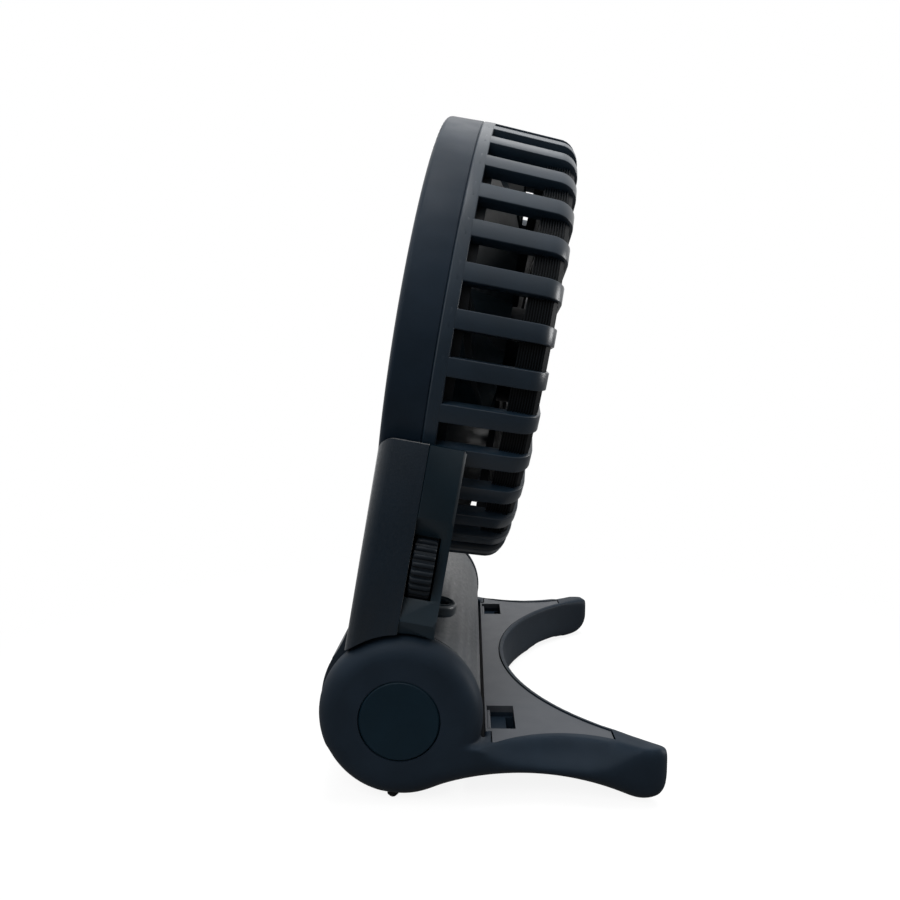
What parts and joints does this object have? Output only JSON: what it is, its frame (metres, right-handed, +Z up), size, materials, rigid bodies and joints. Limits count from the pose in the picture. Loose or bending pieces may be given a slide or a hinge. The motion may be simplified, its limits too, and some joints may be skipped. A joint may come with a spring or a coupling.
{
  "type": "folding handheld fan",
  "caption": "Small folding fan: a round slotted head on a flat handle whose drum-shaped foot turns in a forked stand, with a thumbwheel for the speed and a cord loop.",
  "frame": {"origin": "centre of the footprint on the table, at the level of the feet", "axes": "+Z up, +X to the rear along the legs of the stand, +Y towards the side with the charging socket; the thumbwheel is on the -Y side"},
  "size_m": [0.0654, 0.1, 0.1386],
  "materials": {
    "navy_plastic": "fine matte grain",
    "dark_plastic": "satin",
    "grey_plastic": "matte",
    "steel": "plain",
    "bronze": "sintered",
    "copper": "enamelled winding",
    "rubber": "soft",
    "cell_wrap": "shrink film",
    "lead_cover": "smooth",
    "board": "coated board"
  },
  "bodies": {
    "stand": {"base_shell": "navy_plastic", "base_top_plate": "grey_plastic", "hinge_cap_near": "dark_plastic", "hinge_cap_far": "dark_plastic", "hinge_pin_near": "steel", "hinge_pin_far": "steel", "hinge_clips": "steel", "friction_washers": "steel", "foot_nubs": "rubber"},
    "handle": {"front_shell": "navy_plastic", "rear_shell": "navy_plastic", "barrel_plug_near": "dark_plastic", "barrel_plug_far": "dark_plastic", "battery_cell": "cell_wrap", "battery_cradle": "dark_plastic", "battery_tabs": "steel", "battery_leads": "lead_cover", "control_board": "board", "charge_board": "board", "speed_control": "dark_plastic", "board_parts": "dark_plastic", "usb_socket": "steel", "shell_screws": "steel", "lanyard_loop": "navy_plastic", "front_ring": "navy_plastic", "front_grille": "dark_plastic", "centre_cap": "navy_plastic", "rear_housing": "navy_plastic", "back_cap": "navy_plastic", "motor_can": "steel", "motor_bushes": "bronze", "motor_leads": "dark_plastic", "motor_screws": "steel"},
    "wheel": {"speed_wheel": "dark_plastic"},
    "fan": {"impeller": "dark_plastic", "motor_shaft": "steel", "motor_rotor": "copper"}
  },
  "joints": [
    {"name": "fold", "type": "hinge", "parent": "stand", "child": "handle", "pos_m": [-0.01715, 0, 0.0161], "axis": [0, 1, 0], "range_deg": [-100.2, 79.8]},
    {"name": "speed_dial", "type": "hinge", "parent": "handle", "child": "wheel", "pos_m": [-0.01275, -0.04136, 0.04421], "axis": [0.9842, 0, -0.1771], "range_deg": [0, 270]},
    {"name": "fan_spin", "type": "hinge", "parent": "handle", "child": "fan", "pos_m": [-0.00433, 0, 0.08736], "axis": [0.9842, 0, -0.1771], "continuous": true}
  ]
}
